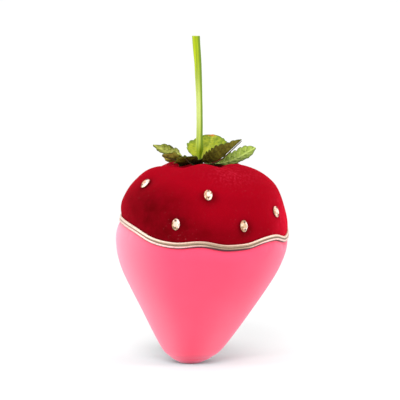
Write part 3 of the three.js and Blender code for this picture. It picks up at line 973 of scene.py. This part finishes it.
# How wide a side of a leaf is along its length: (share of the length, share of the widest half).
OVAL = [(0, 0.1), (0.12, 0.5), (0.3, 0.86), (0.5, 1.0), (0.7, 0.9), (0.86, 0.6), (0.95, 0.3), (1, 0)]
APRON = [(0, 0.8), (0.12, 0.86), (0.3, 0.94), (0.5, 1.0), (0.7, 0.86), (0.86, 0.54), (0.95, 0.26), (1, 0)]
BLUNT = [(0, 0.1), (0.12, 0.5), (0.3, 0.84), (0.5, 0.98), (0.68, 1.0), (0.84, 0.86), (0.95, 0.52), (1, 0)]
KEEL = [(0, 0.5), (0.12, 0.74), (0.3, 0.98), (0.45, 1.0), (0.65, 0.78), (0.82, 0.46), (0.93, 0.2), (1, 0)]
HULL = [(0, 0.75), (0.12, 0.95), (0.3, 1.0), (0.45, 1.0), (0.65, 0.78), (0.82, 0.46), (0.93, 0.2), (1, 0)]
SPOON = [(0, 0.1), (0.2, 0.14), (0.33, 0.36), (0.46, 0.86), (0.6, 1.0), (0.74, 0.8), (0.86, 0.4),
         (0.95, 0.14), (1, 0)]
SLENDER = [(0, 0.12), (0.15, 0.32), (0.35, 0.66), (0.55, 0.95), (0.72, 1.0), (0.86, 0.74), (0.95, 0.38),
           (1, 0)]

# Azimuth, rise, curl and roll in degrees; lift, length and the widest half on each side in mm. left is the
# side of the smaller azimuth. fold and cup are how far each side is folded up along the leaf and at its foot,
# in degrees; bend is the share of the length over which it curls.
LEAVES = [
    dict(azimuth=-24, lift=0.3, rise=12, curl=18, bend=1, roll=0, length=13, left=7.2, right=5.5,
         fold=(-14, 16), cup=(0, 8), shapes=(BLUNT, APRON), teeth=5, notch=0.16, wave=0.6, look="front"),
    dict(azimuth=-74, lift=1.0, rise=12, curl=8, bend=1, roll=24, length=15, left=5, right=6,
         fold=(-2, 2), cup=(0, 0), shapes=(BLUNT, BLUNT), teeth=5, notch=0.2, wave=0.6, look="brown"),
    dict(azimuth=-114, lift=2.1, rise=7, curl=21, bend=1, roll=-28, length=21.5, left=5.6, right=4.6,
         fold=(2, 10), cup=(0, 0), shapes=(SPOON, KEEL), teeth=7, notch=0.14, wave=0.7, look="lime"),
    dict(azimuth=154, lift=1.6, rise=32, curl=20, bend=1, roll=0, length=17, left=10, right=11,
         fold=(8, 8), cup=(0, 0), shapes=(OVAL, OVAL), teeth=7, notch=0.08, wave=0.4, look="yellow"),
    dict(azimuth=98, lift=0.5, rise=-8, curl=38, bend=0.7, roll=26, length=25.3, left=5.8, right=6.5,
         fold=(10, 4), cup=(0, 0), shapes=(SLENDER, SLENDER), teeth=9, notch=0.16, wave=0.35, look="veined"),
    dict(azimuth=56, lift=1.2, rise=-1, curl=41, bend=0.5, roll=-4, length=24.3, left=6.6, right=6,
         fold=(34, 26), cup=(10, 0), shapes=(HULL, OVAL), teeth=10, notch=0.14, wave=0.3, look="dark"),
]
# Blade, light and dark tones of the upper face, and its veins.
LEAF_LOOKS = {
    "dark": ((0.1, 0.14, 0.012), (0.2, 0.24, 0.02), (0.035, 0.05, 0.005), (0.22, 0.25, 0.05)),
    "lime": ((0.17, 0.19, 0.01), (0.66, 0.66, 0.2), (0.045, 0.05, 0.004), (0.34, 0.36, 0.06)),
    "yellow": ((0.22, 0.26, 0.012), (0.36, 0.37, 0.018), (0.07, 0.13, 0.01), (0.38, 0.4, 0.04)),
    "veined": ((0.12, 0.165, 0.012), (0.35, 0.45, 0.07), (0.02, 0.04, 0.004), (0.52, 0.62, 0.17)),
}
LEAF_LOOKS["brown"] = LEAF_LOOKS["front"] = LEAF_LOOKS["dark"]
# The same for the face below. The front look is the dark underside made much darker: painted shade on the
# front leaf's underside.
UNDER_LOOKS = {
    "dark": ((0.11, 0.105, 0.01), (0.17, 0.155, 0.02), (0.04, 0.036, 0.004), (0.05, 0.044, 0.005)),
    "front": ((0.022, 0.02, 0.001), (0.1, 0.095, 0.005), (0.006, 0.005, 0.001), (0.01, 0.008, 0.001)),
    "brown": ((0.24, 0.21, 0.018), (0.44, 0.41, 0.07), (0.07, 0.056, 0.005), (0.1, 0.085, 0.01)),
}
SPOT_TONE = (0.5, 0.12, 0.03)


def leaf_frame(leaf, share):
    """The midrib's points and the leaf's across and up directions at each share of its length."""
    azimuth = math.radians(leaf["azimuth"])
    out, sideways = outward(azimuth), outward(azimuth + math.pi / 2)
    steps = np.linspace(0, 1, CURL_STEPS + 1)
    pitches = np.radians(leaf["rise"] + leaf["curl"] * np.clip(steps / leaf["bend"], 0, 1))
    middles = (pitches[1:] + pitches[:-1]) / 2
    reaches, climbs = (np.concatenate([[0], np.cumsum(part(middles))]) * leaf["length"] / CURL_STEPS
                       for part in (np.cos, np.sin))
    pitch, reach, climb = (np.interp(share, steps, values) for values in (pitches, reaches, climbs))
    foot = np.array([STEM_FOOT[0], 0, LEAF_BOTTOM + leaf["lift"]])
    centre = foot + (LEAF_START + reach)[..., None] * out + climb[..., None] * UP
    upright = -np.sin(pitch)[..., None] * out + np.cos(pitch)[..., None] * UP
    roll = math.radians(leaf["roll"]) * smoothstep(share, 0, LEAF_TWIST_END)
    across = np.cos(roll)[..., None] * sideways + np.sin(roll)[..., None] * upright
    up = np.cos(roll)[..., None] * upright - np.sin(roll)[..., None] * sideways
    return centre, across, up


def leaf_blade(number, leaf):
    """A toothed leaf, pleated between its side veins, with a print of its own above and below."""
    rows = leaf["teeth"] * TOOTH_ROWS + 1
    share = np.broadcast_to(np.linspace(0, 1, rows)[:, None], (rows, LEAF_COLUMNS))
    side = np.broadcast_to(np.linspace(-1, 1, LEAF_COLUMNS), (rows, LEAF_COLUMNS))
    widths = []
    for half, shape in zip((leaf["left"], leaf["right"]), leaf["shapes"]):
        line = catmull_rom(shape, np.linspace(0, 1, 201))
        widths.append(half * np.interp(share, line[:, 0], np.clip(line[:, 1], 0, None)))
    half = np.where(side < 0, *widths)
    tooth = (share * leaf["teeth"]) % 1
    edge = smoothstep(np.abs(side), 0.55, 1)
    reach = half * (1 - leaf["notch"] * edge * (1 - tooth) ** 1.2)
    reach = np.maximum(reach, 0.7 * (1 - share) + 0.05)
    hook = 0.35 / leaf["teeth"] * edge * tooth * np.clip(1 - share, 0, 1)
    centre, across, up = leaf_frame(leaf, np.clip(share + hook, 0, 1))
    away = np.abs(side) * reach
    bulge = np.abs(np.sin(math.pi * (share * leaf["teeth"] - 1.1 * np.abs(side) ** 1.2)))
    full = smoothstep(half, 0.4, 4)
    fold, cup = (np.where(side < 0, *np.tan(np.radians(leaf[key]))) for key in ("fold", "cup"))
    lift = away * (fold * smoothstep(share, 0, 0.3) + cup * smoothstep(-share, -0.45, 0))
    lift = lift + 0.34 * (bulge - 0.6) * smoothstep(np.abs(side), 0.04, 0.4) * full
    ripple = np.sin(2 * math.pi * (share * 2.3 + 0.2 * number) + 1.3 * np.sign(side))
    lift = lift + leaf["wave"] * side**2 * ripple * full - 0.18 * bell(away, 0.7)
    points = centre + across * (side * reach)[..., None] + up * lift[..., None]
    side_veins = bell(bulge, 0.3) * smoothstep(np.abs(side), 0.02, 0.1) * (1 - 0.5 * np.abs(side))
    pale = share if leaf["look"] == "veined" else 1 - share
    light = 0.5 * smoothstep(pale, 0.25, 0.8) + 0.5 * bulge * (1 - np.abs(side))
    light = light + 0.25 * wave_noise(points / 6, number)
    name = f"calyx_leaf_{number}"
    spot = SPOT_TONE if leaf["look"] == "yellow" else None
    upper = leaf_material(name + " upper", *LEAF_LOOKS[leaf["look"]], spot=spot)
    under_look = UNDER_LOOKS.get(leaf["look"], UNDER_LOOKS["dark"])
    under = leaf_material(name + " under", *under_look, lit="outer")
    faces = [face[::-1] for face in grid_faces(rows, LEAF_COLUMNS, wrap=False)]
    piece = add_mesh(name, points, faces, [upper, under])
    paint(piece, "vein", np.clip(np.maximum(side_veins, bell(away, 0.45)), 0, 1))
    paint(piece, "light", np.clip(light, 0, 1))
    paint(piece, "rim", smoothstep(np.abs(side), 0.86, 1))
    paint(piece, "spot", smoothstep(share, 0.9, 0.99) * bell(side - 0.2, 0.6))
    paint(piece, "outer", smoothstep(share + 0.15 * wave_noise(points / 5, number + 3), 0.35, 1))
    subdivide(piece)
    shell = thicken(piece, LEAF_THICKNESS, 0.0)
    shell.material_offset = 1
    return hand_in(piece, "leaf_fabric", f"leaf_{number}")


def leaf_rib(number, leaf, material):
    """The moulded rib glued under a leaf, thick at the stalk and fine at the tip."""
    steps, sides = 40, 12
    along = np.linspace(0, 1, steps)
    share = RIB_START + (1 - RIB_START) * along
    radius = RIB_RADIUS + (RIB_TIP_RADIUS - RIB_RADIUS) * along
    radius = radius * (1 + 0.08 * np.sin(along * 44 + number))
    centre, across, up = leaf_frame(leaf, share)
    axis = centre - up * (LEAF_THICKNESS / 2 + RIB_GAP + RIB_RADIUS)
    close = np.sqrt(np.clip(1 - np.abs(2 * along - 1) ** 24, 0, 1))
    angle = turns(sides)
    rings = (axis[:, None] + across[:, None] * (np.cos(angle) * (radius * close)[:, None])[..., None]
             + up[:, None] * (0.9 * np.sin(angle) * (radius * close)[:, None])[..., None])
    piece = add_mesh(f"calyx_rib_{number}", rings, tube_faces(steps, sides, flip=True), material)
    return hand_in(piece, "rib_plastic", f"leaf_rib_{number}")


def stem_centre(share):
    share = np.asarray(share, float)
    bow = STEM_BOW * np.sin(math.pi * share)
    return STEM_FOOT + (STEM_TOP - STEM_FOOT) * share[..., None] + bow[..., None] * np.array([1.0, 0, 0])


def stem():
    """A ridged moulded stem whose ridges spread into strands at the calyx, cut square at its top."""
    rows, columns = 140, 60
    share = np.linspace(0, 1, rows)
    radius = np.interp(share, *np.array(STEM_RADII).T)
    radius = np.convolve(np.pad(radius, 2, "edge"), np.ones(5) / 5, "valid")
    angle = around(columns)
    twist = 0.5 * share[:, None] + 0.1 * np.sin(7 * share)[:, None]
    wave = np.cos(STEM_RIDGES * (angle - twist))
    ridge = 0.1 * wave + 0.025 * np.cos(13 * (angle + twist))
    foot = smoothstep(share, 0.12, 0.0)[:, None]
    size = radius[:, None] * (1 + ridge * (1 + 1.2 * foot)) + 0.03 * wave_noise(
        np.stack(np.broadcast_arrays(angle * 2, share[:, None] * 30), -1), 9)
    rings = stem_centre(share)[:, None] + outward(angle) * size[..., None]
    caps = [stem_centre(np.array(1.0)) + outward(angle) * (size[-1] * scale)[:, None] + UP * lift
            for scale, lift in STEM_CUT]
    points = np.concatenate([rings, np.array(caps)])
    piece = add_mesh("moulded_stem", points, tube_faces(len(points), columns), stem_material())
    # painted shade in the grooves between the ridges
    valley = np.concatenate([np.clip(-wave, 0, 1), np.zeros((len(STEM_CUT), columns))])
    paint(piece, "valley", valley)
    # painted shade on the right side
    paint(piece, "side", np.tile(smoothstep(np.sin(angle - 0.2), -0.05, 0.55), (len(points), 1)))
    paint(piece, "cut", np.repeat([0.0, 1.0], [rows * columns, len(STEM_CUT) * columns]))
    heights = np.append(share, np.ones(len(STEM_CUT)))[:, None]
    facing = np.sin(angle - 0.2)[None]
    # painted highlight down the left side, at mid height
    paint(piece, "pale", 0.6 * bell(heights - 0.44, 0.22) * smoothstep(-facing, -0.6, 0.2))
    # painted shade at the foot, under the leaves
    paint(piece, "foot_shade", 0.9 * smoothstep(-heights, -0.22, -0.12) * bell(facing - 0.15, 0.45))
    return hand_in(piece, "stem_plastic", "stem")


def calyx_pad():
    """The felt washer under the leaves, with a slightly uneven cut edge."""
    low, high = (np.array(corner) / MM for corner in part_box("calyx_pad"))
    centre, outer, thickness = (low + high) / 2, (high[0] - low[0]) / 2, high[2] - low[2]
    columns = 96
    angle = around(columns)
    profile = [(1.4, 0), (2.5, -0.42), (4, -0.5), (outer - 0.25, -0.42), (outer, -0.2), (outer, 0.2),
               (outer - 0.25, 0.42), (4, 0.5), (2.5, 0.42)]
    rings = []
    for radius, height in profile:
        uneven = 1 - 0.02 * (1 + np.sin(9 * angle) * np.sin(4 * angle + 1)) * (radius > 4)
        rings.append(centre + outward(angle) * (radius * uneven)[:, None] + UP * height * thickness)
    count = len(rings) * columns
    faces = [tuple(corner % count for corner in face) for face in grid_faces(len(rings) + 1, columns)]
    material = plain_material("felt", (0.07, 0.1, 0.025), (0.03, 0.045, 0.012), 3200, 0.95, depth=0.12)
    piece = add_mesh("felt_calyx_pad", np.array(rings), faces, material)
    return hand_in(piece, "green_felt", "calyx_pad")


# ---- What is inside ----

FILLING_BOTTOM = 25.5
FILLING_INSET, FILLING_LUMP = 2.1, 0.8
GRIT_BOTTOM, GRIT_TOP = 2.5, 24.6
GRIT_INSET, GRIT_LUMP = 2.5, 0.7


def inside_body(name, low, high, inset, lump, material):
    """A soft filling between two lengths along the outline, lumpy where it meets the cover."""
    columns, rows = 120, 40
    azimuth = around(columns)
    lengths = np.broadcast_to(np.linspace(low, high, rows)[:, None], (rows, columns))
    flat = body_point(azimuth, lengths)
    offset = -inset - lump * (1 + wave_noise(flat / 6, 21)) / 2
    points = body_point(azimuth, lengths, offset)
    ends = []
    for ring, step in ((points[0], 1), (points[-1], -1)):
        middle = ring.mean(0)
        inner = [middle + (ring - middle) * scale for scale in (0.75, 0.5, 0.25)]
        ends.append(inner[::-1] if step == 1 else inner)
    grid = np.concatenate([np.array(ends[0]), points, np.array(ends[1])])
    centres = np.array([points[0].mean(0), points[-1].mean(0)])
    count = len(grid) * columns
    faces = grid_faces(len(grid), columns) + fan(count, columns, flip=True)
    faces += fan(count + 1, columns, first=count - columns)
    piece = add_mesh(name, np.concatenate([grid.reshape(-1, 3), centres]), faces, material)
    return piece


# ---- Camera, floor and light ----

VIEW_ELEVATION = 6.0
VIEW_CENTRE = (4.45, 0.0, 76.7)
VIEW_WIDTH = 187.2
CAMERA_DISTANCE = 1400.0
SENSOR_WIDTH = 36
FLOOR_RADII = (200, 1000, 6000, 40000)
WORLD_STRENGTH = 1.12
LIT_POINT = (4, 0, 60)
# Each lamp's name, place, size and power in watts.
LAMPS = [("key", (-80, -860, 600), 560, 8.0), ("left", (-720, -240, 260), 360, 2.6),
         ("right", (700, -160, 260), 360, 2.6)]


def aim(thing, place, direction):
    """Puts a camera or lamp into the scene, pointed in a direction."""
    thing.location = place * MM
    thing.rotation_mode = "QUATERNION"
    thing.rotation_quaternion = direction.to_track_quat("-Z", "Y")
    bpy.context.scene.collection.objects.link(thing)


def camera():
    """The photo's long lens, a little above the object."""
    data = bpy.data.cameras.new("camera")
    data.sensor_width = SENSOR_WIDTH
    data.lens = data.sensor_width * CAMERA_DISTANCE / VIEW_WIDTH
    data.clip_start, data.clip_end = 0.05, 200
    eye = bpy.data.objects.new("camera", data)
    angle = math.radians(VIEW_ELEVATION)
    back = Vector((0, -math.cos(angle), math.sin(angle)))
    aim(eye, Vector(VIEW_CENTRE) + back * CAMERA_DISTANCE, -back)
    bpy.context.scene.camera = eye


def floor():
    """A wide pale floor with painted shadow in its colour: a little darker where the body keeps the light off
    it, round and behind the foot, and tinted cyan there against the pink light the body throws.
    """
    columns = 96
    rings = [outward(around(columns)) * radius for radius in FLOOR_RADII]
    points = np.concatenate([np.array(rings).reshape(-1, 3), np.zeros((1, 3))])
    faces = [face[::-1] for face in grid_faces(len(rings), columns)] + fan(len(points) - 1, columns)
    n = Nodes("studio floor")
    away = n.add("VectorMath", {0: n.place()}, operation="LENGTH").outputs["Value"]
    # where the painted shadow behind the foot lies
    shadow_oval = {"Vector": n.place(), "Location": (0, -1.6, 0), "Scale": (54, 40, 0)}
    behind = n.add("Mapping", shadow_oval).outputs["Vector"]
    behind = n.add("VectorMath", {0: behind, 1: behind}, operation="DOT_PRODUCT").outputs["Value"]
    paper = n.layers(
        (0.7, 0.705, 0.705),
        (n.noise(30, detail=2), (0.71, 0.715, 0.715)),
        (n.map(away, 0.15, 1.5), (0.9, 0.905, 0.905)),
        # painted shade round the foot, tinted cyan against the pink light from the body
        (n.times(n.math("EXPONENT", n.times(away, -32.0)), 0.88), (0.41, 0.68, 0.68)),
        # painted shadow in an oval behind the foot
        (n.times(n.math("EXPONENT", n.times(behind, -1.0)), 0.65), (0.24, 0.29, 0.29)),
    )
    n.set(Base_Color=paper, Roughness=0.9, Specular_IOR_Level=0.1)
    add_mesh("studio_floor", points, faces, n.material)


def studio():
    """An even white surround with a soft lamp in front and a weaker one on each side."""
    world = bpy.data.worlds.new("studio")
    world.use_nodes = True
    background = world.node_tree.nodes["Background"]
    background.inputs["Color"].default_value = colour(1, 1, 1)
    background.inputs["Strength"].default_value = WORLD_STRENGTH
    bpy.context.scene.world = world
    bpy.context.scene.view_settings.view_transform = "Standard"
    for name, place, size, power in LAMPS:
        data = bpy.data.lights.new(name, "AREA")
        data.shape, data.size, data.energy = "DISK", size * MM, power
        aim(bpy.data.objects.new(name, data), Vector(place), Vector(LIT_POINT) - Vector(place))


# ---- Assembly ----

camera()
floor()
studio()
velvet_cover()
velour_cover()
braid = braid_material()
gold_braid(braid)
braid_join(braid)
gather_thread()
calyx_pad()
crystal = stone_material()
draw = np.random.default_rng(5)
for number, place in enumerate(STONE_PLACES, 1):
    seed_stone(number, place, crystal, draw)
rib_plastic = plain_material("rib plastic", (0.075, 0.055, 0.02), (0.03, 0.022, 0.01), 1500, 0.5)
for number, leaf in enumerate(LEAVES, 1):
    leaf_blade(number, leaf)
    leaf_rib(number, leaf, rib_plastic)
stem()
fibre = plain_material("fibre", (0.86, 0.84, 0.8), (0.7, 0.68, 0.63), 1400, 0.95, depth=0.3)
bottom = length_at(FILLING_BOTTOM)
filling = inside_body("fibre_stuffing", bottom, OUTLINE_LENGTH, FILLING_INSET, FILLING_LUMP, fibre)
hand_in(filling, "fibre", "fibre_filling")
calico = plain_material("calico", (0.62, 0.56, 0.44), (0.44, 0.38, 0.28), 2600, 0.9)
bottom, top = length_at(GRIT_BOTTOM), length_at(GRIT_TOP)
grit = inside_body("grit_bag", bottom, top, GRIT_INSET, GRIT_LUMP, calico)
hand_in(grit, "ballast", "ballast_bag")
board = plain_material("board", (0.42, 0.33, 0.22), (0.3, 0.23, 0.15), 1800, 0.9)
wire = plain_material("wire", (0.5, 0.5, 0.52), (0.38, 0.38, 0.4), 4000, 0.35, metallic=1.0, depth=0.02)
for node, slot, material in (("base_disc", "disc_board", board), ("stem_wire", "wire", wire)):
    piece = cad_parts[node]
    piece.data.materials.clear()
    piece.data.materials.append(material)
